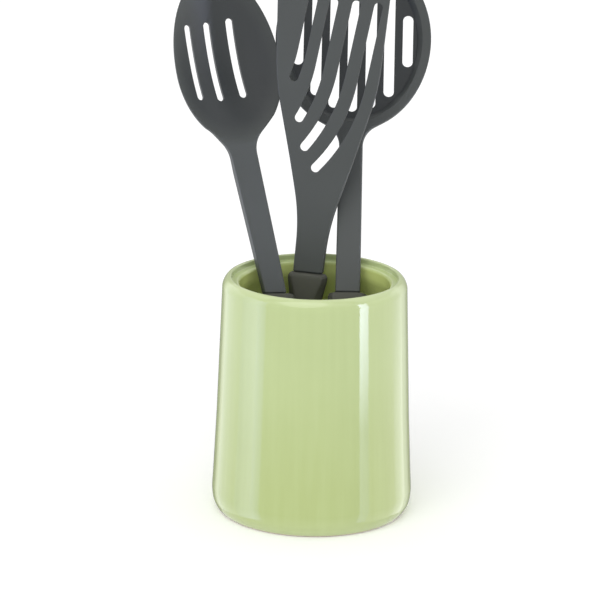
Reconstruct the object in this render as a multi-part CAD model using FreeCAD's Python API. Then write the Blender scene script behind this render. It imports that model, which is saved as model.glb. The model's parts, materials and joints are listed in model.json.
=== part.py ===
import FreeCAD
import Part
import math
import os

# Utensil crock: a glazed stoneware jar that holds three nylon kitchen utensils.
# Millimetres. +Z is up, the origin is the centre of the foot ring on the table,
# and -Y is the front, where the utensils show their faces.

# Crock body
CROCK_HEIGHT = 150.0
RIM_DIAMETER = 114.0
WALL_TAPER = 1.9
WAIST_HEIGHT = 43.0
WAIST_ROUNDING = 700.0
BASE_FLARE = 2.0
BASE_HEIGHT = 12.0
BASE_ROUNDING = 18.0
WALL = 6.0
FLOOR = 8.0
FLOOR_CORNER = 8.0
FOOT_INSET = 4.0
FOOT_RING = 6.0
FOOT_RECESS = 1.6
FOOT_EDGE = 0.8
LIP_WIDTH = 5.9
LIP_SHOULDER = 2.6
LIP_ROUNDING = 4.0
LIP_INNER_ROUNDING = 1.6
LEDGE_DROP = 4.0
LEDGE_WIDTH = 4.8
LEDGE_ROUNDING = 2.0
THROAT_DEPTH = 8.0
THROAT_FLARE = 18.0
THROAT_ROUNDING = 14.0

# Grips: three equal mouldings, measured from the hanging end
GRIP_LENGTH = 133.0
GRIP_END_WIDTH = 17.0
GRIP_END_THICKNESS = 9.5
GRIP_BELLY_WIDTH = 21.5
GRIP_BELLY_THICKNESS = 13.0
GRIP_BELLY_AT = 34.0
GRIP_WAIST_WIDTH = 17.0
GRIP_WAIST_THICKNESS = 12.0
GRIP_WAIST_AT = 96.0
GRIP_NECK_WIDTH = 19.5
GRIP_NECK_AT = 116.0
GRIP_SHOULDER_WIDTH = 24.5
GRIP_SHOULDER_THICKNESS = 12.0
GRIP_FACE_WIDTH = 8.0
GRIP_NECK_FACE = 11.0
GRIP_SHOULDER_FACE = 21.0
GRIP_FLANK = 3.6
GRIP_BACK_CROWN = 2.6
GRIP_SIDE_CROWN = 0.5
GRIP_END_ROUNDING = 2.2
GRIP_TOP_ROUNDING = 1.2
HANG_HOLE_WIDTH = 7.0
HANG_HOLE_LENGTH = 15.0
HANG_HOLE_MARGIN = 9.0

# Shafts, and the tangs that hold them in the grips
SHAFT_THICKNESS = 6.0
SHAFT_ROUNDING = 1.2
FLARE_THICKNESS = 2.8
TANG_WIDTH = 9.0
TANG_THICKNESS = 4.0
TANG_LENGTH = 55.0
TANG_CLEARANCE = 0.15
SEAM_HEIGHT = 0.7
SEAM_DEPTH = 0.8
NECK_ROUNDING = 20.0

# Slotted spoon
SPOON_LENGTH = 335.0
SPOON_BOWL_WIDTH = 68.0
SPOON_BOWL_LENGTH = 110.0
SPOON_BOWL_DEPTH = 14.0
SPOON_WALL = 2.6
SPOON_SEAT_WIDTH = 14.2
SPOON_NECK_WIDTH = 17.4
SPOON_FLARE_RISE = 14.0
SPOON_FLARE_INSET = 0.6
SPOON_SLOT_COUNT = 3
SPOON_SLOT_WIDTH = 4.3
SPOON_SLOT_PITCH = 14.4
SPOON_SLOT_LENGTH = 50.0
SPOON_SLOT_START = 31.0

# Slotted turner
TURNER_LENGTH = 330.0
TURNER_SEAT_WIDTH = 18.8
TURNER_NECK_WIDTH = 20.0
TURNER_NECK_ROUNDING = 130.0
TURNER_CHEEK_WIDTH = 67.0
TURNER_CHEEK_ROUNDING = 150.0
TURNER_TIP_WIDTH = 75.0
TURNER_CORNER = 11.0
TURNER_BLADE_THICKNESS = 2.6
TURNER_TIP_THICKNESS = 1.6
TURNER_CRANK_ANGLE = 9.0
TURNER_CRANK_RADIUS = 70.0
TURNER_SLOT_WIDTH = 5.6
TURNER_SLOT_PITCH = 14.2
TURNER_SLOT_RADIUS = 122.0
TURNER_SLOT_DRIFT = 11.9
TURNER_SLOT_CURVE = 9.0
TURNER_SLOT_OFFSET = 19.2

# Heights on the turner, as shares of its length above the grip
TURNER_NECK_SHARE = 0.154
TURNER_CHEEK_SHARE = 0.613
TURNER_CRANK_START_SHARE = 0.195
TURNER_CRANK_END_SHARE = 0.409
TURNER_SLOT_START_SHARES = (0.335, 0.404, 0.498, 0.631)
TURNER_SLOT_BEND_SHARE = 0.567
TURNER_SLOT_TOP_SHARE = 0.878

# Skimmer
SKIMMER_LENGTH = 352.0
SKIMMER_DISH_WIDTH = 98.0
SKIMMER_DISH_LENGTH = 112.0
SKIMMER_RIM_WIDTH = 5.5
SKIMMER_RIM_THICKNESS = 3.0
SKIMMER_RIM_STEP = 1.3
SKIMMER_DISH_DEPTH = 9.0
SKIMMER_WALL = 2.6
SKIMMER_SEAT_WIDTH = 15.6
SKIMMER_NECK_WIDTH = 14.6
SKIMMER_NECK_DROP = 7.0
SKIMMER_FLARE_WIDTH = 28.0
SKIMMER_FLARE_RISE = 5.0
SKIMMER_SLOT_COUNT = 7
SKIMMER_SLOT_WIDTH = 6.7
SKIMMER_SLOT_PITCH = 11.5
SKIMMER_SLOT_MARGIN = 10.0

# Rims of the bowl and the dish: rounded edges, a little proud of the shaft's face
RIM_EDGE = 0.9
RIM_BAND = 1.4
RIM_PROUD = 0.3

# Where each utensil stands: its foot on the floor, in from the wall, its shaft in the
# mouth, in from the ledge, and the heading that its face is turned to. Bearings turn
# from +X towards +Y, headings from the front towards +X, both in degrees.
SPOON_FOOT_INSET = 35.0
SPOON_FOOT_BEARING = -76.4
SPOON_RIM_INSET = 10.9
SPOON_RIM_BEARING = 142.6
SPOON_HEADING = 24.0
TURNER_FOOT_INSET = 30.2
TURNER_FOOT_BEARING = 128.8
TURNER_RIM_INSET = 12.6
TURNER_RIM_BEARING = 96.8
TURNER_HEADING = -10.0
SKIMMER_FOOT_INSET = 16.6
SKIMMER_FOOT_BEARING = -58.9
SKIMMER_RIM_INSET = 10.3
SKIMMER_RIM_BEARING = 55.1
SKIMMER_HEADING = 0.0
FLOOR_CLEARANCE = 0.3

UP = FreeCAD.Vector(0, 0, 1)
BACK = FreeCAD.Vector(0, 1, 0)
ORIGIN = FreeCAD.Vector(0, 0, 0)
FULL_TURN = 360.0
SAME_PLACE = 1e-4

rim_radius = RIM_DIAMETER / 2
lip_inner_radius = rim_radius - LIP_WIDTH
mouth_radius = lip_inner_radius - LEDGE_WIDTH
ledge_height = CROCK_HEIGHT - LEDGE_DROP
wall_slope = math.tan(math.radians(WALL_TAPER))
waist_radius = rim_radius + wall_slope * (CROCK_HEIGHT - WAIST_HEIGHT)
floor_radius = waist_radius - WALL
shaft_front = -SHAFT_THICKNESS / 2
rim_front = shaft_front - RIM_PROUD
shaft_foot = GRIP_LENGTH + SEAM_HEIGHT


def xz(x, z):
    return FreeCAD.Vector(x, 0, z)


def yz(y, z):
    return FreeCAD.Vector(0, y, z)


def polar(radius, bearing, height):
    angle = math.radians(bearing)
    return FreeCAD.Vector(radius * math.cos(angle), radius * math.sin(angle), height)


def rounded_face(corners):
    """A flat face inside an outline of straight sides, given as (corner, rounding) pairs.

    Each rounding is an arc, kept within its share of the two sides that meet there.
    """
    share = 0.48
    count = len(corners)
    arcs = []
    ends = []
    for index, (corner, rounding) in enumerate(corners):
        before = corners[index - 1][0] - corner
        after = corners[(index + 1) % count][0] - corner
        room = share * min(before.Length, after.Length)
        before.normalize()
        after.normalize()
        half_angle = before.getAngle(after) / 2
        run = min(rounding / math.tan(half_angle), room)
        ends.append((corner + before * run, corner + after * run))
        if rounding > 0:
            inwards = (before + after).normalize()
            radius = run * math.tan(half_angle)
            middle = corner + inwards * (radius / math.sin(half_angle) - radius)
            arcs.append(Part.Arc(ends[index][0], middle, ends[index][1]).toShape())
    sides = []
    for index in range(count):
        sides.append(Part.LineSegment(ends[index - 1][1], ends[index][0]).toShape())
    return Part.Face(Part.Wire(Part.__sortEdges__(arcs + sides)))


def mirrored_face(half_corners):
    """A face symmetric about X = 0, from the corners of its right-hand half, lowest first."""
    left = [(xz(-corner.x, corner.z), rounding) for corner, rounding in reversed(half_corners)]
    return rounded_face(half_corners + left)


def crock_body():
    """The jar, turned about its axis: foot ring, flared wall, lip, lid ledge and hollow."""
    base = waist_radius + BASE_FLARE
    foot = base - FOOT_INSET
    foot_inner = foot - FOOT_RING
    throat_bottom = ledge_height - THROAT_DEPTH
    flare_bottom = throat_bottom - THROAT_FLARE
    wall_inner = rim_radius + wall_slope * (CROCK_HEIGHT - flare_bottom) - WALL
    profile = rounded_face([
        (xz(foot_inner, 0), FOOT_EDGE),
        (xz(foot, 0), FOOT_EDGE),
        (xz(base, BASE_HEIGHT), BASE_ROUNDING),
        (xz(waist_radius, WAIST_HEIGHT), WAIST_ROUNDING),
        (xz(rim_radius, CROCK_HEIGHT - LIP_SHOULDER), LIP_ROUNDING),
        (xz(rim_radius - LIP_SHOULDER, CROCK_HEIGHT), LIP_ROUNDING),
        (xz(lip_inner_radius, CROCK_HEIGHT), LIP_INNER_ROUNDING),
        (xz(lip_inner_radius, ledge_height), 0),
        (xz(mouth_radius, ledge_height), LEDGE_ROUNDING),
        (xz(mouth_radius, throat_bottom), THROAT_ROUNDING),
        (xz(wall_inner, flare_bottom), THROAT_ROUNDING),
        (xz(floor_radius, FLOOR), FLOOR_CORNER),
        (xz(0, FLOOR), 0),
        (xz(0, FOOT_RECESS), 0),
        (xz(foot_inner - FOOT_RECESS, FOOT_RECESS), 0),
    ])
    return profile.revolve(ORIGIN, UP, FULL_TURN)


def prism(face, depth):
    """A face of the XZ plane given thickness, half of it in front and half behind."""
    solid = face.extrude(BACK * depth)
    solid.translate(BACK * (-depth / 2))
    return solid


def obround(width, low, high, centre_x, depth):
    """A round-ended slot along Z, as a prism through the thickness."""
    half = width / 2
    return prism(rounded_face([
        (xz(centre_x - half, low), half),
        (xz(centre_x + half, low), half),
        (xz(centre_x + half, high), half),
        (xz(centre_x - half, high), half),
    ]), depth)


def grip_section(height, width, face_width, thickness):
    """One cross-section of a grip: flat face in front, a flank at each side, crowned back."""
    side = width / 2
    face = face_width / 2
    front = -thickness / 2
    flank = front + GRIP_FLANK
    heel = thickness / 2 - GRIP_BACK_CROWN
    side_middle = (flank + heel) / 2
    bulge = side + GRIP_SIDE_CROWN

    def at(x, y):
        return FreeCAD.Vector(x, y, height)

    edges = [
        Part.LineSegment(at(-face, front), at(face, front)).toShape(),
        Part.LineSegment(at(face, front), at(side, flank)).toShape(),
        Part.Arc(at(side, flank), at(bulge, side_middle), at(side, heel)).toShape(),
        Part.Arc(at(side, heel), at(0, thickness / 2), at(-side, heel)).toShape(),
        Part.Arc(at(-side, heel), at(-bulge, side_middle), at(-side, flank)).toShape(),
        Part.LineSegment(at(-side, flank), at(-face, front)).toShape(),
    ]
    return Part.Wire(edges)


def edges_at(solid, direction, distance):
    """The edges of a solid that lie wholly at one distance from the origin along a direction."""
    found = []
    for edge in solid.Edges:
        offsets = [abs(vertex.Point.dot(direction) - distance) for vertex in edge.Vertexes]
        if not edge.Degenerated and max(offsets) < SAME_PLACE:
            found.append(edge)
    return found


def tang_block(clearance):
    """The tongue under a shaft, or with a clearance the pocket that takes it in the grip."""
    width = TANG_WIDTH + 2 * clearance
    thickness = TANG_THICKNESS + 2 * clearance
    length = TANG_LENGTH + clearance
    corner = FreeCAD.Vector(-width / 2, -thickness / 2, GRIP_LENGTH - length)
    return Part.makeBox(width, thickness, length, corner)


def utensil_grip():
    """A moulded handle: lofted through five sections, with a tang pocket and a hanging hole."""
    sections = [
        grip_section(0, GRIP_END_WIDTH, GRIP_FACE_WIDTH, GRIP_END_THICKNESS),
        grip_section(GRIP_BELLY_AT, GRIP_BELLY_WIDTH, GRIP_FACE_WIDTH, GRIP_BELLY_THICKNESS),
        grip_section(GRIP_WAIST_AT, GRIP_WAIST_WIDTH, GRIP_FACE_WIDTH, GRIP_WAIST_THICKNESS),
        grip_section(GRIP_NECK_AT, GRIP_NECK_WIDTH, GRIP_NECK_FACE, GRIP_SHOULDER_THICKNESS),
        grip_section(GRIP_LENGTH, GRIP_SHOULDER_WIDTH, GRIP_SHOULDER_FACE, GRIP_SHOULDER_THICKNESS),
    ]
    grip = Part.makeLoft(sections, True, False)
    grip = grip.makeFillet(GRIP_END_ROUNDING, edges_at(grip, UP, 0))
    grip = grip.makeFillet(GRIP_TOP_ROUNDING, edges_at(grip, UP, GRIP_LENGTH))
    hole_top = HANG_HOLE_MARGIN + HANG_HOLE_LENGTH
    hole = obround(HANG_HOLE_WIDTH, HANG_HOLE_MARGIN, hole_top, 0, 2 * GRIP_BELLY_THICKNESS)
    return grip.cut(hole).cut(tang_block(TANG_CLEARANCE))


def shaft_root(seat_width):
    """The tang and the narrow seam that a shaft leaves above its grip."""
    width = seat_width - 2 * SEAM_DEPTH
    thickness = SHAFT_THICKNESS - 2 * SEAM_DEPTH
    corner = FreeCAD.Vector(-width / 2, -thickness / 2, GRIP_LENGTH)
    seam = Part.makeBox(width, thickness, SEAM_HEIGHT, corner)
    return tang_block(0).fuse(seam)


def long_edges(solid):
    """The edges along a shaft, which its mould rounds over: not its flat ends, nor lines through it."""
    found = []
    for edge in solid.Edges:
        start, end = edge.Vertexes[0].Point, edge.Vertexes[-1].Point
        if abs(start.z - end.z) > SAME_PLACE and abs(start.y - end.y) < FLARE_THICKNESS:
            found.append(edge)
    return found


def flared_shaft(seat_width, neck_width, neck_height, flare_width, flare_height):
    """A flat shaft with rounded edges that widens and thins at its neck to run into a rim."""
    outline = mirrored_face([
        (xz(seat_width / 2, shaft_foot), 0),
        (xz(neck_width / 2, neck_height), NECK_ROUNDING),
        (xz(flare_width / 2, flare_height), 0),
    ])
    side_view = rounded_face([
        (yz(shaft_front, shaft_foot), 0),
        (yz(-shaft_front, shaft_foot), 0),
        (yz(-shaft_front, neck_height - NECK_ROUNDING / 2), NECK_ROUNDING),
        (yz(shaft_front + FLARE_THICKNESS, flare_height), 0),
        (yz(shaft_front, flare_height), 0),
    ])
    thick = side_view.extrude(FreeCAD.Vector(2 * flare_width, 0, 0))
    thick.translate(FreeCAD.Vector(-flare_width, 0, 0))
    shaft = prism(outline, 2 * SHAFT_THICKNESS).common(thick)
    return shaft.makeFillet(SHAFT_ROUNDING, long_edges(shaft))


def oval_tangent(half_width, half_length, rise):
    """The half-width of an oval at a rise above its foot, and the slope of its side there."""
    drop = 1 - rise / half_length
    share = math.sqrt(1 - drop * drop)
    return half_width * share, half_width / half_length * drop / share


def cap(radius, depth, front):
    """A round cap about the Y axis: flat at front, domed backwards to depth on the axis."""
    sphere = (radius * radius + depth * depth) / (2 * depth)
    half_way = math.asin(min(radius / sphere, 1)) / 2
    centre = front + depth - sphere
    pole = FreeCAD.Vector(0, front + depth, 0)
    middle = FreeCAD.Vector(sphere * math.sin(half_way), centre + sphere * math.cos(half_way), 0)
    edge = FreeCAD.Vector(radius, front, 0)
    axis_point = FreeCAD.Vector(0, front, 0)
    outline = Part.Wire([
        Part.Arc(pole, middle, edge).toShape(),
        Part.LineSegment(edge, axis_point).toShape(),
        Part.LineSegment(axis_point, pole).toShape(),
    ])
    return Part.Face(outline).revolve(ORIGIN, BACK, FULL_TURN)


def stretched(solid, factor, height):
    """A round dish made oval along Z and moved up to its place on the shaft."""
    matrix = FreeCAD.Matrix()
    matrix.A33 = factor
    matrix.A34 = height
    return solid.transformGeometry(matrix)


def spoon_head():
    """The slotted spoon: an oval bowl, open in front, on a shaft that flares into its rim."""
    radius = SPOON_BOWL_WIDTH / 2
    stretch = SPOON_BOWL_LENGTH / SPOON_BOWL_WIDTH
    bowl_foot = SPOON_LENGTH - SPOON_BOWL_LENGTH
    centre = bowl_foot + SPOON_BOWL_LENGTH / 2
    hollow = cap(radius - SPOON_WALL, SPOON_BOWL_DEPTH, rim_front)
    dome = cap(radius, SPOON_BOWL_DEPTH + SPOON_WALL - RIM_BAND, rim_front + RIM_BAND)
    band = Part.makeCylinder(radius, RIM_BAND, BACK * rim_front, BACK)
    bowl = dome.fuse(band).cut(hollow)
    bowl = bowl.makeFillet(RIM_EDGE, edges_at(bowl, BACK, rim_front))
    bowl = stretched(bowl, stretch, centre)
    flare_oval = radius - SPOON_FLARE_INSET
    flare_foot = centre - flare_oval * stretch
    flare_height = flare_foot + SPOON_FLARE_RISE
    flare_half, slope = oval_tangent(flare_oval, flare_oval * stretch, SPOON_FLARE_RISE)
    neck_height = flare_height - (flare_half - SPOON_NECK_WIDTH / 2) / slope
    shaft = flared_shaft(SPOON_SEAT_WIDTH, SPOON_NECK_WIDTH, neck_height,
                         2 * flare_half, flare_height)
    shaft = shaft.cut(stretched(hollow, stretch, centre))
    head = bowl.fuse([shaft, shaft_root(SPOON_SEAT_WIDTH)]).removeSplitter()
    slot_low = bowl_foot + SPOON_SLOT_START
    slot_high = slot_low + SPOON_SLOT_LENGTH
    for index in range(SPOON_SLOT_COUNT):
        offset = (index - (SPOON_SLOT_COUNT - 1) / 2) * SPOON_SLOT_PITCH
        head = head.cut(obround(SPOON_SLOT_WIDTH, slot_low, slot_high, offset, SPOON_BOWL_WIDTH))
    return head


def turner_height(share):
    """A height on the turner, from its share of the length above the grip."""
    return shaft_foot + share * (TURNER_LENGTH - shaft_foot)


def turner_slot(start, offset):
    """A slot that leaves its round foot along an arc and runs on straight, a little tilted."""
    half = TURNER_SLOT_WIDTH / 2
    usual_bend = turner_height(TURNER_SLOT_BEND_SHARE)
    top = turner_height(TURNER_SLOT_TOP_SHARE)
    tilt = math.atan(TURNER_SLOT_DRIFT / (top - usual_bend))
    bend_height = max(usual_bend, start + TURNER_SLOT_CURVE)
    bend_x = offset + (bend_height - usual_bend) * math.tan(tilt)
    centre_x = bend_x - TURNER_SLOT_RADIUS * math.cos(tilt)
    centre_z = bend_height + TURNER_SLOT_RADIUS * math.sin(tilt)
    foot = math.asin((centre_z - start) / TURNER_SLOT_RADIUS)
    run = (top - bend_height) / math.cos(tilt)

    def at(turn, side, ahead):
        radius = TURNER_SLOT_RADIUS + side
        x = centre_x + radius * math.cos(turn) + ahead * math.sin(turn)
        z = centre_z - radius * math.sin(turn) + ahead * math.cos(turn)
        return xz(x, z)

    middle = (foot + tilt) / 2
    outline = Part.Wire([
        Part.Arc(at(foot, half, 0), at(middle, half, 0), at(tilt, half, 0)).toShape(),
        Part.LineSegment(at(tilt, half, 0), at(tilt, half, run)).toShape(),
        Part.Arc(at(tilt, half, run), at(tilt, 0, run + half), at(tilt, -half, run)).toShape(),
        Part.LineSegment(at(tilt, -half, run), at(tilt, -half, 0)).toShape(),
        Part.Arc(at(tilt, -half, 0), at(middle, -half, 0), at(foot, -half, 0)).toShape(),
        Part.Arc(at(foot, -half, 0), at(foot, 0, -half), at(foot, half, 0)).toShape(),
    ])
    return prism(Part.Face(outline), TURNER_LENGTH)


def turner_head():
    """The slotted turner: a broad thin blade, cranked forward from its shaft, with curved slots."""
    outline = mirrored_face([
        (xz(TURNER_SEAT_WIDTH / 2, shaft_foot), 0),
        (xz(TURNER_NECK_WIDTH / 2, turner_height(TURNER_NECK_SHARE)), TURNER_NECK_ROUNDING),
        (xz(TURNER_CHEEK_WIDTH / 2, turner_height(TURNER_CHEEK_SHARE)), TURNER_CHEEK_ROUNDING),
        (xz(TURNER_TIP_WIDTH / 2, TURNER_LENGTH), TURNER_CORNER),
    ])
    slope = math.tan(math.radians(TURNER_CRANK_ANGLE))
    crank_start = turner_height(TURNER_CRANK_START_SHARE)
    crank_end = turner_height(TURNER_CRANK_END_SHARE)
    crank_middle = (crank_start + crank_end) / 2
    crank_y = -(crank_end - crank_middle) * slope
    tip_y = -(TURNER_LENGTH - crank_middle) * slope
    thick = SHAFT_THICKNESS / 2
    blade = TURNER_BLADE_THICKNESS / 2
    tip = TURNER_TIP_THICKNESS / 2
    side_view = rounded_face([
        (yz(-thick, shaft_foot), 0),
        (yz(thick, shaft_foot), 0),
        (yz(thick, crank_start), TURNER_CRANK_RADIUS),
        (yz(crank_y + blade, crank_end), TURNER_CRANK_RADIUS),
        (yz(tip_y + tip, TURNER_LENGTH), 0),
        (yz(tip_y - tip, TURNER_LENGTH), 0),
        (yz(crank_y - blade, crank_end), TURNER_CRANK_RADIUS),
        (yz(-thick, crank_start), TURNER_CRANK_RADIUS),
    ])
    bent = side_view.extrude(FreeCAD.Vector(2 * TURNER_TIP_WIDTH, 0, 0))
    bent.translate(FreeCAD.Vector(-TURNER_TIP_WIDTH, 0, 0))
    head = prism(outline, TURNER_LENGTH).common(bent)
    for index, share in enumerate(TURNER_SLOT_START_SHARES):
        offset = TURNER_SLOT_OFFSET - index * TURNER_SLOT_PITCH
        head = head.cut(turner_slot(turner_height(share), offset))
    return head.fuse(shaft_root(TURNER_SEAT_WIDTH)).removeSplitter()


def skimmer_head():
    """The skimmer: a shallow slotted dish inside a flat raised rim, on a flared shaft."""
    radius = SKIMMER_DISH_WIDTH / 2
    stretch = SKIMMER_DISH_LENGTH / SKIMMER_DISH_WIDTH
    dish_foot = SKIMMER_LENGTH - SKIMMER_DISH_LENGTH
    centre = dish_foot + SKIMMER_DISH_LENGTH / 2
    dish_radius = radius - SKIMMER_RIM_WIDTH
    step = Part.makeCylinder(dish_radius, SKIMMER_RIM_STEP, BACK * rim_front, BACK)
    hollow_front = rim_front + SKIMMER_RIM_STEP
    hollow = step.fuse(cap(dish_radius, SKIMMER_DISH_DEPTH - SKIMMER_RIM_STEP, hollow_front))
    rim = Part.makeCylinder(radius, SKIMMER_RIM_THICKNESS, BACK * rim_front, BACK)
    dome = cap(dish_radius + SKIMMER_WALL, SKIMMER_DISH_DEPTH + SKIMMER_WALL, rim_front)
    dish = rim.fuse(dome).cut(hollow)
    dish = dish.makeFillet(RIM_EDGE, edges_at(dish, BACK, rim_front))
    dish = stretched(dish, stretch, centre)
    shaft = flared_shaft(SKIMMER_SEAT_WIDTH, SKIMMER_NECK_WIDTH, dish_foot - SKIMMER_NECK_DROP,
                         SKIMMER_FLARE_WIDTH, dish_foot + SKIMMER_FLARE_RISE)
    shaft = shaft.cut(stretched(hollow, stretch, centre))
    head = dish.fuse([shaft, shaft_root(SKIMMER_SEAT_WIDTH)]).removeSplitter()
    slot_field = radius - SKIMMER_SLOT_MARGIN
    slot_reach = SKIMMER_DISH_LENGTH / 2 - SKIMMER_SLOT_MARGIN
    for index in range(SKIMMER_SLOT_COUNT):
        offset = (index - (SKIMMER_SLOT_COUNT - 1) / 2) * SKIMMER_SLOT_PITCH
        reach = slot_reach * math.sqrt(1 - (offset / slot_field) ** 2)
        slot = obround(SKIMMER_SLOT_WIDTH, centre - reach, centre + reach, offset, SKIMMER_DISH_WIDTH)
        head = head.cut(slot)
    return head


def place(foot_inset, foot_bearing, rim_inset, rim_bearing, heading):
    """How an upright utensil is turned to lean in the crock, and the direction of its axis."""
    foot = polar(floor_radius - foot_inset, foot_bearing, FLOOR)
    at_rim = polar(mouth_radius - rim_inset, rim_bearing, ledge_height)
    axis = (at_rim - foot).normalize()
    turn = math.radians(heading)
    facing = FreeCAD.Vector(math.sin(turn), -math.cos(turn), 0)
    normal = (facing - axis * facing.dot(axis)).normalize()
    across = axis.cross(normal)
    matrix = FreeCAD.Matrix(
        across.x, -normal.x, axis.x, foot.x,
        across.y, -normal.y, axis.y, foot.y,
        across.z, -normal.z, axis.z, foot.z,
        0, 0, 0, 1,
    )
    return matrix, axis


def stand(name, grip, head, matrix, axis):
    """Stand a utensil on the crock's floor, slid along its own axis, and write its two pieces."""
    placed_grip = grip.transformed(matrix)
    lowest = placed_grip.optimalBoundingBox().ZMin
    rise = axis * ((FLOOR + FLOOR_CLEARANCE - lowest) / axis.z)
    for piece, solid in (("grip", placed_grip), ("head", head.transformed(matrix))):
        solid.translate(rise)
        solid.exportStep("parts/" + name + "_" + piece + ".step")
    foot = matrix.multVec(ORIGIN) + rise
    print(name, "foot", foot, "axis", axis)


os.makedirs("parts", exist_ok=True)
crock_body().exportStep("parts/crock_body.step")
grip = utensil_grip()
stand("slotted_spoon", grip, spoon_head(), *place(
    SPOON_FOOT_INSET, SPOON_FOOT_BEARING, SPOON_RIM_INSET, SPOON_RIM_BEARING, SPOON_HEADING))
stand("slotted_turner", grip, turner_head(), *place(
    TURNER_FOOT_INSET, TURNER_FOOT_BEARING, TURNER_RIM_INSET, TURNER_RIM_BEARING, TURNER_HEADING))
stand("skimmer", grip, skimmer_head(), *place(
    SKIMMER_FOOT_INSET, SKIMMER_FOOT_BEARING, SKIMMER_RIM_INSET, SKIMMER_RIM_BEARING, SKIMMER_HEADING))
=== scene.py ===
import json
import math
import bmesh
import bpy
from mathutils import Matrix, Vector


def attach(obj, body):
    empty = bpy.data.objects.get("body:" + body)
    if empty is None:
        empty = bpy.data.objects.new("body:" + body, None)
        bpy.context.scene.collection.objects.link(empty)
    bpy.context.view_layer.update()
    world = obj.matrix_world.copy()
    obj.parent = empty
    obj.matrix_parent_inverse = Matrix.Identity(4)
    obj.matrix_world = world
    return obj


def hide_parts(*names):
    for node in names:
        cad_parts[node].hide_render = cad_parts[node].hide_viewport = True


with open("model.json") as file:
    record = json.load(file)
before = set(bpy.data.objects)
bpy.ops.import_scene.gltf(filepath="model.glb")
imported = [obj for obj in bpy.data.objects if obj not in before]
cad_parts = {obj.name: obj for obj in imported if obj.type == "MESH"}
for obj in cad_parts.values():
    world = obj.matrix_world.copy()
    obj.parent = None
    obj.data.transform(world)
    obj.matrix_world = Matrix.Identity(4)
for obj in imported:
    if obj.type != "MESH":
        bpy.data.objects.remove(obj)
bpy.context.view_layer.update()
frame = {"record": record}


# Crock body
# A stoneware jar, slip-cast in one piece, dipped in pale green glaze and fired.
# Its lip has a ledge inside it, and it stands on a ring that is wiped bare of glaze.
crock_segments = 160
rounding_segments = 10
crock_corners = [
    # radius and height of each turn of the wall, and how far its rounding
    # reaches along the wall to either side, in millimetres
    (50.95, 1.6, 0.5),
    (52.55, 0.0, 0.5),
    (57.60, 0.0, 1.0),
    (61.15, 4.2, 3.3),
    (62.48, 11.5, 3.8),
    (60.55, 43.0, 20.0),
    (57.00, 145.6, 2.7),
    (53.70, 149.6, 1.3),
    (51.30, 149.6, 1.0),
    (51.30, 146.0, 0.7),
    (46.30, 146.0, 2.0),
    (46.30, 138.0, 2.1),
    (52.00, 120.0, 1.2),
    (54.55, 8.0, 7.8),
]
# a vertex this near a turn, in metres, counts as on it
near = 1e-5
bpy.ops.object.select_all(action="DESELECT")
first_radius, first_height = crock_corners[0][:2]
bpy.ops.mesh.primitive_circle_add(
    vertices=crock_segments, radius=first_radius / 1000, fill_type="NOTHING",
    location=(0, 0, first_height / 1000))
crock = bpy.context.object
crock.name = crock.data.name = "crock_glazed"
bpy.ops.object.transform_apply(location=True, rotation=True, scale=True)
bpy.ops.object.mode_set(mode="EDIT")
bpy.ops.mesh.select_all(action="SELECT")
radius_now, height_now = first_radius, first_height
for radius, height, rounding in crock_corners[1:]:
    bpy.ops.mesh.extrude_region_move(
        TRANSFORM_OT_translate={"value": (0, 0, (height - height_now) / 1000)})
    grow = radius / radius_now
    bpy.ops.transform.resize(value=(grow, grow, 1), center_override=(0, 0, height / 1000))
    radius_now, height_now = radius, height
# the last ring is the edge of the floor inside the jar
bpy.ops.mesh.edge_face_add()
bpy.ops.object.mode_set(mode="OBJECT")
for radius, height, rounding in crock_corners:
    for vertex in crock.data.vertices:
        near_height = abs(vertex.co.z - height / 1000) < near
        near_radius = abs(vertex.co.xy.length - radius / 1000) < near
        vertex.select = near_height and near_radius
    bpy.ops.object.mode_set(mode="EDIT")
    bpy.ops.mesh.select_mode(type="VERT")
    bpy.ops.mesh.select_mode(type="EDGE")
    bpy.ops.mesh.bevel(
        offset=rounding / 1000, segments=rounding_segments, profile=0.5, affect="EDGES")
    bpy.ops.mesh.select_all(action="DESELECT")
    bpy.ops.mesh.select_mode(type="VERT")
    bpy.ops.object.mode_set(mode="OBJECT")
# close the recess under the floor, then point every face outwards
for vertex in crock.data.vertices:
    near_height = abs(vertex.co.z - first_height / 1000) < near
    vertex.select = near_height and vertex.co.xy.length < first_radius / 1000 + near
bpy.ops.object.mode_set(mode="EDIT")
bpy.ops.mesh.edge_face_add()
bpy.ops.mesh.select_all(action="SELECT")
bpy.ops.mesh.normals_make_consistent(inside=False)
bpy.ops.object.mode_set(mode="OBJECT")
bpy.ops.object.shade_smooth_by_angle(angle=math.radians(40))


def linear(code):
    """A hex colour as it is seen, turned into the linear values that a shader takes."""
    seen = [int(code[k:k + 2], 16) / 255 for k in (1, 3, 5)]
    return (*[s / 12.92 if s <= 0.04045 else ((s + 0.055) / 1.055) ** 2.4 for s in seen], 1)


def node(tree, kind, inputs, **settings):
    """Adds a node with its settings, and sets or links each input that is named."""
    made = tree.nodes.new(kind)
    for name, value in settings.items():
        setattr(made, name, value)
    for name, value in inputs.items():
        if isinstance(value, bpy.types.NodeSocket):
            tree.links.new(value, made.inputs[name])
        else:
            made.inputs[name].default_value = value
    return made


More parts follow.
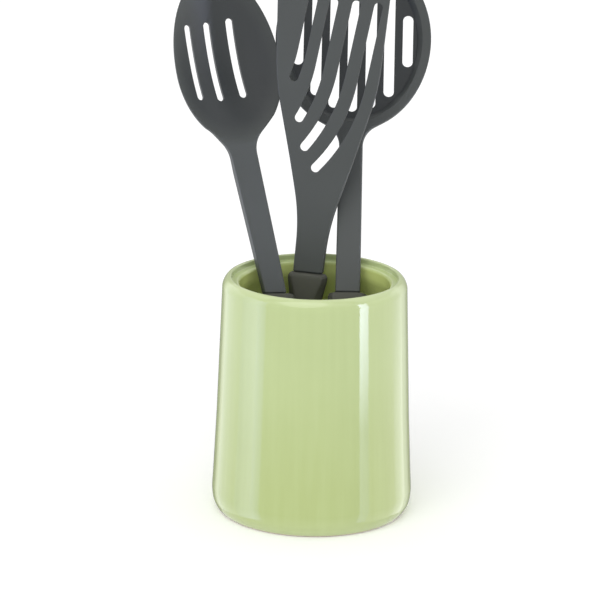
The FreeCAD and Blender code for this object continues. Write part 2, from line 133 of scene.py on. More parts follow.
# Fired glaze on stoneware: glassy, paler where it thins at the foot, paler on the lip where it
# thins and where a highlight is painted, deeper where it ran down and gathered low on the wall,
# painted lighter and yellower inside the jar as light falling in, and wiped off the cream clay
# of the foot ring. Heights and radii are in metres, each pair from no effect to the full one.
sag_top, sag_foot = 0.11, 0.03
lip_start, lip_top = 0.1455, 0.150
foot_start, foot_low = 0.014, 0.002
wall_radius, hollow_radius = 0.0555, 0.055
ledge_height, hollow_height = 0.1462, 0.144
wiped_start, wiped_full = 0.0012, 0.0009
glaze = bpy.data.materials.new("green_glaze_on_stoneware")
glaze.use_nodes = True
tree = glaze.node_tree
shader = tree.nodes["Principled BSDF"]
place = node(tree, "ShaderNodeTexCoord", {}).outputs["Object"]
height = node(tree, "ShaderNodeSeparateXYZ", {"Vector": place}).outputs["Z"]
# clouds about 45 mm wide, where the dip left more or less glaze
clouds = node(tree, "ShaderNodeTexNoise", {"Vector": place, "Scale": 1 / 0.045, "Detail": 3.0})
high_coat = node(tree, "ShaderNodeMix", {
    0: clouds.outputs["Fac"], 6: linear("#B7C68C"), 7: linear("#BDCC94")}, data_type="RGBA")
low_coat = node(tree, "ShaderNodeMix", {
    0: clouds.outputs["Fac"], 6: linear("#B1BF7E"), 7: linear("#B7C586")}, data_type="RGBA")
sag = node(tree, "ShaderNodeMapRange", {
    "Value": height, "From Min": sag_top, "From Max": sag_foot})
body = node(tree, "ShaderNodeMix", {
    0: sag.outputs["Result"], 6: high_coat.outputs[2], 7: low_coat.outputs[2]}, data_type="RGBA")
# runs about 5 mm wide and 125 mm long down the wall
drawn = node(tree, "ShaderNodeMapping", {"Vector": place, "Scale": (1.0, 1.0, 0.04)})
runs = node(tree, "ShaderNodeTexNoise", {
    "Vector": drawn.outputs["Vector"], "Scale": 1 / 0.005, "Detail": 2.0})
run_share = node(tree, "ShaderNodeMapRange", {
    "Value": runs.outputs["Fac"], "From Min": 0.35, "From Max": 0.75, "To Max": 0.2})
streaked = node(tree, "ShaderNodeMix", {
    0: run_share.outputs["Result"], 6: body.outputs[2], 7: linear("#C5D49C")}, data_type="RGBA")
# the lip's crown is paler partly where the glaze thins and partly as a painted highlight
lip_thinning_and_highlight = node(tree, "ShaderNodeMapRange", {
    "Value": height, "From Min": lip_start, "From Max": lip_top, "To Max": 0.5})
thin_foot = node(tree, "ShaderNodeMapRange", {
    "Value": height, "From Min": foot_start, "From Max": foot_low, "To Max": 0.35})
thinning_and_lip_highlight = node(tree, "ShaderNodeMath", {
    0: lip_thinning_and_highlight.outputs["Result"], 1: thin_foot.outputs["Result"]}, operation="MAXIMUM")
# the glaze colour paled where it thins at the foot, and on the lip where it thins and a
# highlight is painted
paled_lip_and_foot = node(tree, "ShaderNodeMix", {
    0: thinning_and_lip_highlight.outputs[0], 6: streaked.outputs[2], 7: linear("#D8E3B6")}, data_type="RGBA")
# inside is all that lies below the ledge and within 55 mm of the axis, where light is painted in
level = node(tree, "ShaderNodeVectorMath", {0: place, 1: (1, 1, 0)}, operation="MULTIPLY")
radius = node(tree, "ShaderNodeVectorMath", {0: level.outputs["Vector"]}, operation="LENGTH")
within = node(tree, "ShaderNodeMapRange", {
    "Value": radius.outputs["Value"], "From Min": wall_radius, "From Max": hollow_radius})
below = node(tree, "ShaderNodeMapRange", {
    "Value": height, "From Min": ledge_height, "From Max": hollow_height})
inside = node(tree, "ShaderNodeMath", {
    0: within.outputs["Result"], 1: below.outputs["Result"]}, operation="MULTIPLY")
# painted light: the inside is painted lighter and yellower than the glaze outside, standing in
# for light that falls into the jar
inside_painted_light = node(tree, "ShaderNodeMix", {
    0: inside.outputs[0], 6: paled_lip_and_foot.outputs[2], 7: linear("#DDEA94")}, data_type="RGBA")
# the foot ring is bare up to 1 mm above the table
bare = node(tree, "ShaderNodeMapRange", {
    "Value": height, "From Min": wiped_start, "From Max": wiped_full})
coat = node(tree, "ShaderNodeMix", {
    0: bare.outputs["Result"], 6: inside_painted_light.outputs[2], 7: linear("#D9CFBC")}, data_type="RGBA")
tree.links.new(coat.outputs[2], shader.inputs["Base Color"])
gloss = node(tree, "ShaderNodeMapRange", {
    "Value": clouds.outputs["Fac"], "To Min": 0.05, "To Max": 0.09})
finish = node(tree, "ShaderNodeMix", {
    0: bare.outputs["Result"], 2: gloss.outputs["Result"], 3: 0.8})
tree.links.new(finish.outputs[0], shader.inputs["Roughness"])
shader.inputs["IOR"].default_value = 1.52
# slow waves about 30 mm long in the glaze bend what it mirrors
waves = node(tree, "ShaderNodeTexNoise", {"Vector": place, "Scale": 1 / 0.03, "Detail": 1.0})
uneven = node(tree, "ShaderNodeBump", {
    "Height": waves.outputs["Fac"], "Strength": 0.25, "Distance": 0.0004})
tree.links.new(uneven.outputs["Normal"], shader.inputs["Normal"])
crock.data.materials.append(glaze)
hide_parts("crock_body")
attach(crock, "crock")


# Grips of the three utensils
# Solid handles of matt polypropylene, moulded round the tang under each head.
# Each has a flat face between sloped flanks, a crowned back and a slot to hang it by.
grip_stations = [
    # height, half width, half width of the flat face and half thickness, in millimetres
    (0.0, 6.3, 3.0, 3.2),
    (0.0, 7.8, 3.7, 4.2),
    (1.6, 8.7, 4.0, 4.9),
    (5.0, 9.2, 4.0, 5.3),
    (8.5, 9.7, 4.0, 5.7),
    (16.5, 10.4, 4.0, 6.2),
    (24.5, 10.8, 4.0, 6.5),
    (36.0, 10.9, 4.0, 6.6),
    (54.0, 10.3, 4.0, 6.4),
    (72.0, 9.3, 4.0, 6.2),
    (90.0, 8.5, 4.0, 6.0),
    (104.0, 8.8, 4.3, 6.0),
    (114.0, 9.5, 5.1, 6.0),
    (122.0, 10.9, 7.1, 6.0),
    (127.8, 12.2, 9.4, 6.0),
    (130.8, 12.4, 9.8, 5.9),
    (132.4, 11.5, 9.0, 5.6),
    (133.1, 9.8, 7.5, 5.0),
    (133.2, 7.8, 5.7, 4.2),
]
# depth of the sloped flanks and of the crowned back, and the stretch with the hanging slot
flank, crown = 3.6, 2.6
hang_low, hang_high = 8.5, 24.5
section_corners = 14
bpy.ops.object.select_all(action="DESELECT")
bpy.ops.mesh.primitive_circle_add(vertices=section_corners, radius=6, fill_type="NGON")
grip = bpy.context.object
bpy.ops.object.mode_set(mode="EDIT")
bpy.ops.mesh.select_mode(type="VERT")
bpy.ops.mesh.select_all(action="SELECT")
folds = set()
for station, (height, half, face, deep) in enumerate(grip_stations):
    if station:
        bpy.ops.mesh.extrude_region_move(TRANSFORM_OT_translate={"value": (0, 0, 1)})
    # one side of the section, from the edge of the face round the flank to the back
    side = [
        (face, -deep),
        (half - 0.1, flank - deep),
        (half + 0.2, (flank - crown) / 2),
        (half - 0.3, deep - crown),
        (0.64 * half, deep - 0.42 * crown),
        (0.32 * half, deep - 0.05 * crown),
    ]
    section = [(0, -deep)] + side + [(0, deep)] + [(-x, y) for x, y in reversed(side)]
    # the new ring's vertices, in the section's order from the middle of the face
    work = bmesh.from_edit_mesh(grip.data)
    lifted = [vertex for vertex in work.verts if vertex.select]
    lifted.sort(key=lambda vertex: (math.atan2(vertex.co.x, -vertex.co.y) + 0.05) % math.tau)
    for vertex, (x, y) in zip(lifted, section):
        vertex.co = (x, y, height)
    folds |= {(round(abs(x), 2), round(y, 2), height) for x, y in side[:2]}
    bmesh.update_edit_mesh(grip.data)
bpy.ops.mesh.select_all(action="SELECT")
bpy.ops.mesh.normals_make_consistent(inside=False)
# the two folds beside the face stay crisp, and the rest of the skin is rounded
bpy.ops.mesh.select_all(action="DESELECT")
bpy.ops.object.mode_set(mode="OBJECT")
for edge in grip.data.edges:
    ends = [grip.data.vertices[k].co for k in edge.vertices]
    marks = [(round(abs(end.x), 2), round(end.y, 2), round(end.z, 2)) for end in ends]
    along = abs(ends[0].z - ends[1].z) > 0.1
    edge.select = along and all(mark in folds for mark in marks)
bpy.ops.object.mode_set(mode="EDIT")
bpy.ops.mesh.select_mode(type="EDGE")
bpy.ops.transform.edge_crease(value=0.8)
# the hanging slot goes through from the face to the back
bpy.ops.mesh.select_all(action="DESELECT")
bpy.ops.mesh.select_mode(type="FACE")
bpy.ops.object.mode_set(mode="OBJECT")
for polygon in grip.data.polygons:
    middle = polygon.center
    in_stretch = hang_low < middle.z < hang_high
    on_face_or_back = abs(middle.x) < 2.2 and abs(middle.y) > 5
    polygon.select = in_stretch and on_face_or_back
bpy.ops.object.mode_set(mode="EDIT")
bpy.ops.mesh.inset(thickness=0.4)
bpy.ops.mesh.delete(type="FACE")
bpy.ops.mesh.select_mode(type="EDGE")
bpy.ops.mesh.select_non_manifold(extend=False)
bpy.ops.mesh.bridge_edge_loops(number_cuts=2)
bpy.ops.mesh.select_all(action="SELECT")
bpy.ops.mesh.normals_make_consistent(inside=False)
bpy.ops.object.mode_set(mode="OBJECT")
skin = grip.modifiers.new("moulded_skin", "SUBSURF")
skin.levels = 3
bpy.ops.object.modifier_apply(modifier=skin.name)
bpy.ops.object.shade_smooth()

# the stretch round the joint of head and grip that moves with it, and how it eases in and out
moved_from, moved_to = 112, 160
ease_in, ease_out = 16, 24


def stand(piece, foot, axis, heading, rise, slant):
    """Puts a piece, modelled upright in millimetres, where its utensil leans in the jar.
    The joint between head and grip is raised and slanted a little on the way."""
    for vertex in piece.data.vertices:
        x, y, along = vertex.co
        share = max(min((along - moved_from) / ease_in, (moved_to - along) / ease_out, 1), 0)
        vertex.co.z = along + share * (rise + slant * x)
    turn = math.radians(heading)
    axis = Vector(axis).normalized()
    facing = Vector((math.sin(turn), -math.cos(turn), 0))
    facing = (facing - axis * facing.dot(axis)).normalized()
    lean = Matrix((axis.cross(facing), -facing, axis)).transposed().to_4x4()
    piece.matrix_world = Matrix.Scale(0.001, 4) @ Matrix.Translation(foot) @ lean
    bpy.ops.object.select_all(action="DESELECT")
    piece.select_set(True)
    bpy.context.view_layer.objects.active = piece
    bpy.ops.object.transform_apply(location=True, rotation=True, scale=True)


# Moulded polypropylene: a warm dark grey with a fine matt grain that catches a dull light
soft_grip = bpy.data.materials.new("warm_grey_polypropylene")
soft_grip.use_nodes = True
tree = soft_grip.node_tree
shader = tree.nodes["Principled BSDF"]
place = node(tree, "ShaderNodeTexCoord", {}).outputs["Object"]
# slow flow of the melt, about 25 mm across
flow = node(tree, "ShaderNodeTexNoise", {"Vector": place, "Scale": 1 / 0.025, "Detail": 3.0})
tint = node(tree, "ShaderNodeMix", {
    0: flow.outputs["Fac"], 6: linear("#43443C"), 7: linear("#4B4C43")}, data_type="RGBA")
tree.links.new(tint.outputs[2], shader.inputs["Base Color"])
matt = node(tree, "ShaderNodeMapRange", {
    "Value": flow.outputs["Fac"], "To Min": 0.55, "To Max": 0.68})
tree.links.new(matt.outputs["Result"], shader.inputs["Roughness"])
shader.inputs["IOR"].default_value = 1.49
# spark-eroded grain, drawn at 0.9 mm so that it shows
grain = node(tree, "ShaderNodeTexNoise", {"Vector": place, "Scale": 1 / 0.0009, "Detail": 1.0})
texture = node(tree, "ShaderNodeBump", {
    "Height": grain.outputs["Fac"], "Strength": 0.25, "Distance": 0.0001})
tree.links.new(texture.outputs["Normal"], shader.inputs["Normal"])
grip.data.materials.append(soft_grip)
# each utensil leans along the axis of its slide in the frame
axes = {joint["child"]: joint["axis"] for joint in frame["record"]["behaviour"]["joints"]}
leans = {
    # foot in millimetres, axis, heading in degrees, rise in millimetres and slant of the joint
    "slotted_spoon": ((4.2233, -18.5390, 9.5757), axes["slotted_spoon"], 24, -1.6, -0.18),
    "slotted_turner": ((-15.1871, 19.0670, 8.8621), axes["slotted_turner"], -10, 1.6, 0.02),
    "skimmer": ((19.6140, -31.7617, 9.6316), axes["skimmer"], 0, 1.3, 0.0),
}
for utensil, lean in leans.items():
    handle = grip.copy()
    handle.data = grip.data.copy()
    handle.name = handle.data.name = utensil + "_grip_moulded"
    bpy.context.collection.objects.link(handle)
    stand(handle, *lean)
    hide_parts(utensil + "_grip")
    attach(handle, utensil)
bpy.data.objects.remove(grip)


# Slotted spoon, head
# Glass-filled nylon, injection moulded in one: a flat shaft runs out into an oval bowl.
# The bowl is dished 14 mm deep with a thin wall, and three straight slots drain it.
# heights are measured from the foot of the grip, and half sizes from the middle, in millimetres
joint_height = 133.4
shaft_half = 3
cutter_half = 9
seam = 0.7
rim_proud = 0.3
arc_steps = 8


def rounded(corners):
    """An outline through (across, along, radius) corners, with an arc in place of each turn."""
    line = []
    for k, (x, along, radius) in enumerate(corners):
        turn = Vector((x, along))
        if not radius:
            line.append((x, along))
            continue
        back = (Vector(corners[k - 1][:2]) - turn).normalized()
        on = (Vector(corners[(k + 1) % len(corners)][:2]) - turn).normalized()
        half = back.angle(on) / 2
        centre = turn + (back + on).normalized() * radius / math.sin(half)
        first = turn + back * radius / math.tan(half) - centre
        last = turn + on * radius / math.tan(half) - centre
        start = math.atan2(first.y, first.x)
        sweep = (math.atan2(last.y, last.x) - start + math.pi) % math.tau - math.pi
        for step in range(arc_steps + 1):
            bearing = start + sweep * step / arc_steps
            line.append((
                centre.x + radius * math.cos(bearing), centre.y + radius * math.sin(bearing)))
    return line


def oval(half, centre, upper, lower, bearing):
    """A point on an oval that has its own length above and below its widest place."""
    across, along = math.cos(bearing), math.sin(bearing)
    return (half * across, centre + (upper if along > 0 else lower) * along)


def out_in_oval(x, along, half, centre, upper, lower):
    """How far out in an oval a point lies: 0 in the middle, and 1 on the edge."""
    return math.hypot(x / half, (along - centre) / (upper if along > centre else lower))


def flat_blank(name, outline, front, back):
    """A flat slab between two depths, traced round an outline of (across, along) points."""
    bpy.ops.object.select_all(action="DESELECT")
    bpy.ops.mesh.primitive_plane_add(size=1, location=(outline[0][0], front, outline[0][1]))
    slab = bpy.context.object
    slab.name = slab.data.name = name
    bpy.ops.object.transform_apply(location=True, rotation=True, scale=True)
    bpy.ops.object.mode_set(mode="EDIT")
    bpy.ops.mesh.select_mode(type="VERT")
    bpy.ops.mesh.select_all(action="SELECT")
    bpy.ops.mesh.merge(type="CENTER")
    for here, there in zip(outline, outline[1:]):
        step = (there[0] - here[0], 0, there[1] - here[1])
        bpy.ops.mesh.extrude_region_move(TRANSFORM_OT_translate={"value": step})
    bpy.ops.mesh.select_all(action="SELECT")
    bpy.ops.mesh.edge_face_add()
    bpy.ops.mesh.extrude_region_move(TRANSFORM_OT_translate={"value": (0, back - front, 0)})
    bpy.ops.mesh.select_all(action="SELECT")
    bpy.ops.mesh.normals_make_consistent(inside=False)
    bpy.ops.object.mode_set(mode="OBJECT")
    return slab


def straight_slot(middle, foot, top, half):
    """A cutter for a straight slot with round ends."""
    end = half - 0.01
    return flat_blank("slot", rounded([
        (middle - half, foot, end), (middle + half, foot, end),
        (middle + half, top, end), (middle - half, top, end)]), -cutter_half, cutter_half)


def cut_out(piece, cutter):
    """Takes one shape out of another."""
    bpy.ops.object.select_all(action="DESELECT")
    piece.select_set(True)
    bpy.context.view_layer.objects.active = piece
    gap = piece.modifiers.new("gap", "BOOLEAN")
    gap.object = cutter
    gap.operation = "DIFFERENCE"
    gap.solver = "EXACT"
    bpy.ops.object.modifier_apply(modifier=gap.name)
    bpy.data.objects.remove(cutter)


def round_edges(piece, width):
    """Rounds every sharp edge of a blank, apart from those at its joint with the grip."""
    bpy.ops.object.mode_set(mode="EDIT")
    bpy.ops.mesh.select_mode(type="EDGE")
    bpy.ops.mesh.select_all(action="DESELECT")
    bpy.ops.mesh.edges_select_sharp(sharpness=math.radians(50))
    bpy.ops.object.mode_set(mode="OBJECT")
    for edge in piece.data.edges:
        if all(piece.data.vertices[k].co.z < joint_height + 0.01 for k in edge.vertices):
            edge.select = False
    bpy.ops.object.mode_set(mode="EDIT")
    bpy.ops.mesh.bevel(offset=width, segments=3, profile=0.5, affect="EDGES")
    bpy.ops.object.mode_set(mode="OBJECT")


def seam_and_cells(piece, across, along):
    """Sinks the seam under the joint, then divides the blank so that it can be pressed."""
    bpy.ops.object.mode_set(mode="EDIT")
    bpy.ops.mesh.select_mode(type="FACE")
    bpy.ops.mesh.select_all(action="DESELECT")
    bpy.ops.object.mode_set(mode="OBJECT")
    for polygon in piece.data.polygons:
        at_joint = abs(polygon.center.z - joint_height) < 0.01
        polygon.select = polygon.normal.z < -0.9 and at_joint
    bpy.ops.object.mode_set(mode="EDIT")
    bpy.ops.mesh.inset(thickness=seam)
    bpy.ops.mesh.extrude_region_move(TRANSFORM_OT_translate={"value": (0, 0, -seam)})
    for normal, places in (((1, 0, 0), across), ((0, 0, 1), along)):
        for place in places:
            bpy.ops.mesh.select_all(action="SELECT")
            bpy.ops.mesh.bisect(plane_co=[place * axis for axis in normal], plane_no=normal)
    bpy.ops.object.mode_set(mode="OBJECT")


def face_depth(outer, ease):
    """The depth of a head's face, which comes forward a little from the shaft to the rim."""
    return -shaft_half - rim_proud * min(max((1 + ease - outer) / ease, 0), 1)


def back_depth(dome, along, neck, taper):
    """The depth of a head's back, where the shaft thins out past the neck into the dome."""
    thinning, fillet = 3.2, 2
    stem = shaft_half - thinning * max(along - neck, 0) / taper
    blend = max(fillet - abs(dome - stem), 0)
    return max(dome, stem) + blend ** 2 / (4 * fillet)


def smooth_skin(piece):
    """Closes what the press brought together, and gives broad faces an even sheen."""
    bpy.ops.object.mode_set(mode="EDIT")
    bpy.ops.mesh.select_all(action="SELECT")
    bpy.ops.mesh.remove_doubles(threshold=0.02)
    bpy.ops.mesh.normals_make_consistent(inside=False)
    bpy.ops.object.mode_set(mode="OBJECT")
    bpy.ops.object.shade_smooth_by_angle(angle=math.radians(42))
    sheen = piece.modifiers.new("even_sheen", "WEIGHTED_NORMAL")
    sheen.keep_sharp = True
    bpy.ops.object.modifier_apply(modifier=sheen.name)


# the bowl's oval: half width, height of its widest place, and its length above and below that
bowl_half, bowl_middle, bowl_upper, bowl_lower = 34.4, 275, 60, 46
bowl = (bowl_half, bowl_middle, bowl_upper, bowl_lower)
bowl_depth, bowl_wall = 14, 1.6
bowl_rounding = 0.9
spoon_neck, spoon_taper = 209.8, 30.2
# the edge runs from the neck, 48 degrees below the widest place, nearly to the top
bowl_edge = [oval(*bowl, math.radians(-48 + 138 * step / 41)) for step in range(41)]
neck_end = bowl_edge[0] + (0,)
bowl_top = (0, bowl_middle + bowl_upper)
spoon_right = rounded([(7.1, joint_height, 0), (7.0, 227.0, 16), (18.4, 236.6, 40), neck_end])
spoon_left = rounded([(7.1, joint_height, 0), (10.2, 224.5, 20), (19.4, 237.5, 30), neck_end])
spoon = flat_blank("slotted_spoon_head_moulded", spoon_right + bowl_edge[1:] + [bowl_top] + [
    (-x, along) for x, along in reversed(spoon_left + bowl_edge[1:])], -shaft_half, shaft_half)
round_edges(spoon, bowl_rounding)
# three slots, 4.6 mm wide, each with its own foot
slot_top = 306
spoon_slot_half = 2.3
for middle, foot in ((-19.8, 258.5), (-5.3, 256), (9.6, 255.5)):
    cut_out(spoon, straight_slot(middle, foot, slot_top, spoon_slot_half))
seam_and_cells(spoon, [3 * k for k in range(-11, 12)], [206 + 4 * k for k in range(33)])
# press the blank into the bowl, and mark how far each point lies down in its hollow, where the
# nylon is polished and painted darker as shade
hollow = spoon.data.attributes.new("hollow", "FLOAT", "POINT")
for vertex in spoon.data.vertices:
    x, y, along = vertex.co
    outer = out_in_oval(x, along, *bowl)
    sunk = max(1 - outer ** 2, 0)
    front = face_depth(outer, 0.08) + bowl_depth * sunk ** 1.2
    back = back_depth(front + bowl_wall + sunk, along, spoon_neck, spoon_taper)
    share = (y + shaft_half) / (2 * shaft_half)
    vertex.co.y = front + share * (back - front)
    hollow.data[vertex.index].value = min(2.4 * sunk, 1) * (1 - share)
smooth_skin(spoon)

# Glass-filled nylon: a cool dark grey, matt, with a fine moulded grain, and polished
# in the hollows that hold food, which are also darkened there with painted shade
nylon = bpy.data.materials.new("cool_grey_nylon")
nylon.use_nodes = True
tree = nylon.node_tree
shader = tree.nodes["Principled BSDF"]
place = node(tree, "ShaderNodeTexCoord", {}).outputs["Object"]
# slow flow of the melt, about 40 mm across
flow = node(tree, "ShaderNodeTexNoise", {"Vector": place, "Scale": 1 / 0.04, "Detail": 4.0})
tint = node(tree, "ShaderNodeMix", {
    0: flow.outputs["Fac"], 6: linear("#3D4140"), 7: linear("#454948")}, data_type="RGBA")
polished_and_shaded = node(tree, "ShaderNodeAttribute", {}, attribute_name="hollow").outputs["Fac"]
# painted shade: the hollows are darkened towards a deeper grey, standing in for the shade that
# falls into them; only their lower roughness is the polish
skin = node(tree, "ShaderNodeMix", {
    0: polished_and_shaded, 6: tint.outputs[2], 7: linear("#303436")}, data_type="RGBA")
tree.links.new(skin.outputs[2], shader.inputs["Base Color"])
matt = node(tree, "ShaderNodeMapRange", {
    "Value": flow.outputs["Fac"], "To Min": 0.46, "To Max": 0.58})
gloss = node(tree, "ShaderNodeMix", {
    0: polished_and_shaded, 2: matt.outputs["Result"], 3: 0.42}, data_type="FLOAT")
tree.links.new(gloss.outputs[0], shader.inputs["Roughness"])
shader.inputs["IOR"].default_value = 1.53
# spark-eroded grain, drawn at 0.9 mm so that it shows
grain = node(tree, "ShaderNodeTexNoise", {"Vector": place, "Scale": 1 / 0.0009, "Detail": 1.0})
texture = node(tree, "ShaderNodeBump", {
    "Height": grain.outputs["Fac"], "Strength": 0.2, "Distance": 0.0001})
tree.links.new(texture.outputs["Normal"], shader.inputs["Normal"])
spoon.data.materials.append(nylon)
stand(spoon, *leans["slotted_spoon"])
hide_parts("slotted_spoon_head")
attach(spoon, "slotted_spoon")


# Slotted turner, head
# Glass-filled nylon, injection moulded in one: a flat shaft widens into a broad thin blade.
# The blade is cranked forward by 9 degrees, and four curved slots drain it.
blade_top, blade_corner = 330, 11
edge_rounding, slot_rounding = 1.1, 0.45
turner_right = rounded([
    (9.4, joint_height, 0), (10.2, 163.9, 130), (33.8, 254.0, 150),
    (37.5, blade_top, blade_corner), (0, blade_top, 0)])[:-1]
turner_left = rounded([
    (9.4, joint_height, 0), (9.4, 170.0, 130), (30.4, 254.0, 150),
    (34.0, blade_top, blade_corner), (0, blade_top, 0)])[:-1]
turner = flat_blank("slotted_turner_head_moulded", turner_right + [
    (-x, along) for x, along in reversed(turner_left)], -shaft_half, shaft_half)
round_edges(turner, edge_rounding)
# four slots, 5.6 mm wide, curve out of their round feet and run on straight, a little tilted
turner_slot_half, bend, tilt = 2.8, 109, math.radians(8)
turner_slots = [
    # across and along of the foot's middle, and the slot's angle there in degrees
    (-2.0, 200.9, 40.3),
    (-9.7, 213.6, 36),
    (-14.4, 231.5, 27),
    (-19.4, 257.0, 18),
]
round_end = [
    (turner_slot_half * math.cos(k * math.pi / 8), turner_slot_half * math.sin(k * math.pi / 8))
    for k in range(1, 8)]
for across, along, angle in turner_slots:
    low = math.radians(angle)
    centre = (across - bend * math.cos(low), along + bend * math.sin(low))
    run = (slot_top - centre[1] + bend * math.sin(tilt)) / math.cos(tilt)
    path = [(low + (tilt - low) * step / 12, 0) for step in range(13)] + [(tilt, run)]
    right = [(bearing, turner_slot_half, ahead) for bearing, ahead in path]
    tip = [(tilt, side, run + ahead) for side, ahead in round_end]
    left = [(bearing, -turner_slot_half, ahead) for bearing, ahead in reversed(path)]
    heel = [(low, -side, -ahead) for side, ahead in round_end]
    slot = flat_blank("slot", [
        (centre[0] + (bend + side) * math.cos(bearing) + ahead * math.sin(bearing),
         centre[1] - (bend + side) * math.sin(bearing) + ahead * math.cos(bearing))
        for bearing, side, ahead in right + tip + left + heel], -cutter_half, cutter_half)
    cut_out(turner, slot)
round_edges(turner, slot_rounding)
seam_and_cells(
    turner, [8 * k for k in range(-4, 5)], [166 + 4 * k for k in range(15)] + [240, 270, 300])
# crank the blade forward, and thin it from the shaft to the tip
crank, crank_start, crank_end = math.radians(9), 168, 218
thin_start, thin_end = 172, 214
blade_half, tip_half = 1.3, 0.8
for vertex in turner.data.vertices:
    x, y, along = vertex.co
    bent = max(min(along, crank_end) - crank_start, 0)
    lean = -math.tan(crank) * (
        bent ** 2 / (2 * (crank_end - crank_start)) + max(along - crank_end, 0))
    thin = min(max((along - thin_start) / (thin_end - thin_start), 0), 1)
    to_tip = max(along - thin_end, 0) / (blade_top - thin_end)
    half = shaft_half - (shaft_half - blade_half) * thin * thin * (3 - 2 * thin)
    half -= (blade_half - tip_half) * to_tip
    vertex.co.y = lean + y / shaft_half * half
smooth_skin(turner)
turner.data.materials.append(nylon)
stand(turner, *leans["slotted_turner"])
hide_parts("slotted_turner_head")
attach(turner, "slotted_turner")


# Skimmer, head
# Glass-filled nylon, injection moulded in one: a flat shaft carries a shallow oval dish.
# A flat raised rim runs round the dish, and seven straight slots drain it.
dish_half, dish_middle, dish_upper, dish_lower = 49, 296, 56, 58.5
# a flat rim, then a wall that slopes down to the dish's floor, each marked by a shallow step
rim_width, wall_foot, wall_drop = 5.5, 8.7, 4.5
rim_mark, floor_mark = -2.2, -1.4
floor_sag = 1.8
# the dish is thinner towards its edge, from 85 percent of the way out
dish_wall, edge_thinning, edge_start = 2.4, 0.9, 0.85
skimmer_neck, skimmer_taper = 223, 30


def dish(inset):
    """The dish's oval, set in from its edge."""
    return (dish_half - inset, dish_middle, dish_upper - inset, dish_lower - inset)


skimmer_half = rounded([(7.8, joint_height, 0), (7.4, 235.9, 14), (19.92, 242.56, 0)])
# the edge runs on from the neck, 66 degrees below the widest place, nearly to the top
edge_half = 48.98
for step in range(1, 41):
    bearing = math.radians(-66 + 156 * step / 41)
    skimmer_half.append(oval(edge_half, dish_middle, dish_upper, dish_lower, bearing))
dish_top = (0, dish_middle + dish_upper)
skimmer = flat_blank("skimmer_head_moulded", skimmer_half + [dish_top] + [
    (-x, along) for x, along in reversed(skimmer_half)], -shaft_half, shaft_half)
round_edges(skimmer, edge_rounding)
for inset, mark in ((rim_width, rim_mark), (wall_foot, floor_mark)):
    edge = [oval(*dish(inset), k * math.tau / 96) for k in range(96)]
    cut_out(skimmer, flat_blank("step", edge, -4, mark))
# seven slots, 6.5 mm wide, which grow shorter towards the sides
slot_pitch, skimmer_slot_half = 11.5, 3.25
longest_reach, widest_place = 46, 37
for place in range(-3, 4):
    offset = slot_pitch * place
    reach = longest_reach * math.sqrt(1 - (offset / widest_place) ** 2)
    cut_out(skimmer, straight_slot(
        offset, dish_middle - reach, dish_middle + reach, skimmer_slot_half))
round_edges(skimmer, slot_rounding)
seam_and_cells(skimmer, [5 * k for k in range(-9, 10)], [206 + 5 * k for k in range(29)])
# press the blank into the dish, and mark how far each point lies down in its hollow, where the
# nylon is polished and painted darker as shade
hollow = skimmer.data.attributes.new("hollow", "FLOAT", "POINT")
for vertex in skimmer.data.vertices:
    x, y, along = vertex.co
    outer = out_in_oval(x, along, *dish(0))
    rim = out_in_oval(x, along, *dish(rim_width))
    foot = out_in_oval(x, along, *dish(wall_foot))
    slope = min(max((1 - rim) / (1 - rim + max(foot - 1, 1e-6)), 0), 1)
    front = face_depth(outer, 0.06) + wall_drop * slope + floor_sag * max(1 - foot ** 2, 0)
    at_edge = max(min((outer - edge_start) / (1 - edge_start), 1), 0)
    dome = front + dish_wall - edge_thinning * at_edge
    back = back_depth(dome, along, skimmer_neck, skimmer_taper)
    mark = floor_mark if foot < 1.001 else rim_mark if rim < 1.001 else -shaft_half
    share = max(y - mark, 0) / (shaft_half - mark)
    vertex.co.y = front + share * (back - front)
    hollow.data[vertex.index].value = slope * (1 - share)
smooth_skin(skimmer)
skimmer.data.materials.append(nylon)
stand(skimmer, *leans["skimmer"])
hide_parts("skimmer_head")
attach(skimmer, "skimmer")


# Floor, light and camera
# A white table under an even white sky, with one broad lamp above the camera.
# Lit panels and grey ones stand round the jar as in a studio, and only gloss shows them.
bpy.ops.object.select_all(action="DESELECT")
bpy.ops.mesh.primitive_plane_add(size=16, location=(0, 0, 0))
table = bpy.context.object
table.name = "white_table"
table.visible_glossy = False
table_white = bpy.data.materials.new("white_table_paint")
table_white.use_nodes = True
tree = table_white.node_tree
shader = tree.nodes["Principled BSDF"]
shader.inputs["Base Color"].default_value = linear("#FDFDFD")
shader.inputs["Roughness"].default_value = 0.9
shader.inputs["Specular IOR Level"].default_value = 0.0
# the camera sees the table a touch whiter, which lights nothing
shader.inputs["Emission Color"].default_value = (1, 1, 1, 1)
lift = node(tree, "ShaderNodeMath", {
    0: node(tree, "ShaderNodeLightPath", {}).outputs["Is Camera Ray"], 1: 0.08},
    operation="MULTIPLY")
tree.links.new(lift.outputs[0], shader.inputs["Emission Strength"])
table.data.materials.append(table_white)

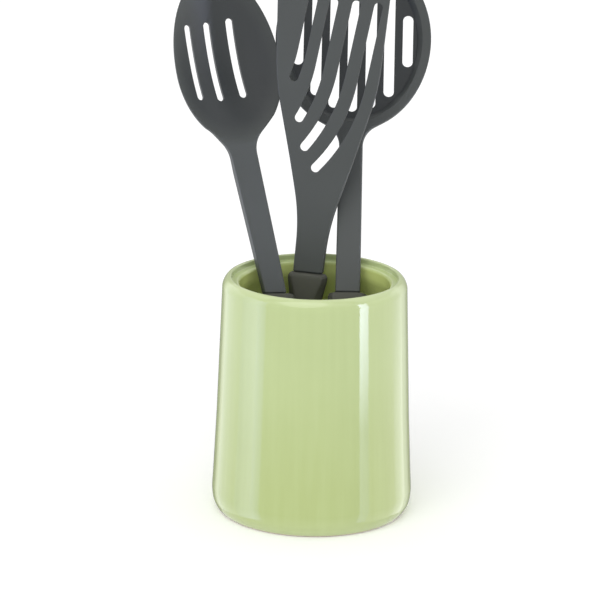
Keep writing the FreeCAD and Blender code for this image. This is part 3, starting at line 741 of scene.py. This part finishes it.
# distance from the jar, lower and upper edge, and where the light fades to the foot, in metres
panel_distance = 0.45
beside, above = (-0.25, 0.35), (0.37, 1.3)
fade_low, fade_high = -0.036, 0.055
panels = [
    # name, colour, first and last bearing in degrees from the front, light at each,
    # share of it at the foot, and the edges
    ("left_band", "#D2D6FF", -58, -69, 2.2, 4.4, 1.0, beside),
    ("left_band_fall", "#DFE2FF", -69, -94, 4.2, 2.0, 1.0, beside),
    ("left_side", "#F6F8FF", -94, -132, 1.8, 2.1, 1.0, beside),
    ("left_edge", "#FFFFFF", -132, -146, 2.0, 0.4, 1.0, beside),
    ("left_grey", "#FFFFFF", -146, -178, 0.3, 0.3, 1.0, beside),
    ("right_strip", "#DCE0FF", 53.6, 65.4, 13.0, 9.5, 0.25, beside),
    ("right_side", "#FFFFF4", 65.4, 107, 1.9, 2.1, 1.0, beside),
    ("right_rear", "#FFFFFF", 107, 129, 1.9, 2.2, 1.3, beside),
    ("right_edge", "#FFFFFF", 129, 146, 1.9, 0.7, 1.0, beside),
    ("right_grey", "#FFFFFF", 146, 178, 0.4, 0.4, 1.0, beside),
    ("upper_grey", "#FFFFFF", -75, 65, 0.06, 0.06, 1.0, above),
]
for name, colour, first, last, light_first, light_last, foot, (low, high) in panels:
    bpy.ops.object.select_all(action="DESELECT")
    bpy.ops.mesh.primitive_plane_add(size=1)
    panel = bpy.context.object
    panel.name = name
    for vertex in panel.data.vertices:
        bearing = math.radians(last if vertex.co.x > 0 else first)
        vertex.co = (
            panel_distance * math.sin(bearing), -panel_distance * math.cos(bearing),
            high if vertex.co.y > 0 else low)
    glow = bpy.data.materials.new(name + "_light")
    glow.use_nodes = True
    tree = glow.node_tree
    tree.nodes.clear()
    spread = node(tree, "ShaderNodeTexCoord", {}).outputs["UV"]
    split = node(tree, "ShaderNodeSeparateXYZ", {"Vector": spread})
    across = node(tree, "ShaderNodeMapRange", {
        "Value": split.outputs["X"], "To Min": light_first, "To Max": light_last})
    down = node(tree, "ShaderNodeMapRange", {
        "Value": split.outputs["Y"], "From Min": (fade_low - low) / (high - low),
        "From Max": (fade_high - low) / (high - low), "To Min": foot})
    light = node(tree, "ShaderNodeMath", {
        0: across.outputs["Result"], 1: down.outputs["Result"]}, operation="MULTIPLY")
    shine = node(tree, "ShaderNodeEmission", {
        "Color": linear(colour), "Strength": light.outputs[0]})
    node(tree, "ShaderNodeOutputMaterial", {"Surface": shine.outputs["Emission"]})
    panel.data.materials.append(glow)
    panel.visible_camera = panel.visible_diffuse = panel.visible_shadow = False
    panel.visible_transmission = False

# the sky is a little brighter where it is seen or mirrored than in the light that it gives
sky = bpy.data.worlds.new("white_sky")
bpy.context.scene.world = sky
sky.use_nodes = True
tree = sky.node_tree
tree.nodes.clear()
ray = node(tree, "ShaderNodeLightPath", {})
seen = node(tree, "ShaderNodeMath", {
    0: ray.outputs["Is Camera Ray"], 1: ray.outputs["Is Glossy Ray"]}, operation="MAXIMUM")
shown = node(tree, "ShaderNodeMath", {
    0: seen.outputs[0], 1: ray.outputs["Is Transmission Ray"]}, operation="MAXIMUM")
strength = node(tree, "ShaderNodeMapRange", {
    "Value": shown.outputs[0], "To Min": 0.8, "To Max": 1.0})
white = node(tree, "ShaderNodeBackground", {
    "Color": (1, 1, 1, 1), "Strength": strength.outputs["Result"]})
node(tree, "ShaderNodeOutputWorld", {"Surface": white.outputs["Background"]})

bpy.ops.object.light_add(type="SUN", location=(-1, -1, 2))
lamp = bpy.context.object
lamp.name = "broad_lamp"
lamp.data.energy = 0.95
lamp.data.angle = math.radians(50)
lamp.rotation_euler = Vector((0.25, 0.75, -0.95)).to_track_quat("-Z", "Y").to_euler()

# the camera stands where the jar's outline in the photograph puts it
aim = Vector((-0.00903, 0, 0.13405))
distance = 2.04289
around, upward, roll = math.radians(0.278), math.radians(16.270), math.radians(0.899)
away = Vector((
    math.sin(around) * math.cos(upward), -math.cos(around) * math.cos(upward), math.sin(upward)))
bpy.ops.object.camera_add(location=aim + away * distance)
camera = bpy.context.object
camera.name = "photo_camera"
straight = (-away).to_track_quat("-Z", "Y").to_matrix()
camera.rotation_euler = (straight @ Matrix.Rotation(roll, 3, "Z")).to_euler()
camera.data.lens = 198.75
camera.data.sensor_width = 36
camera.data.clip_end = 50
bpy.context.scene.camera = camera
bpy.context.scene.view_settings.view_transform = "Standard"
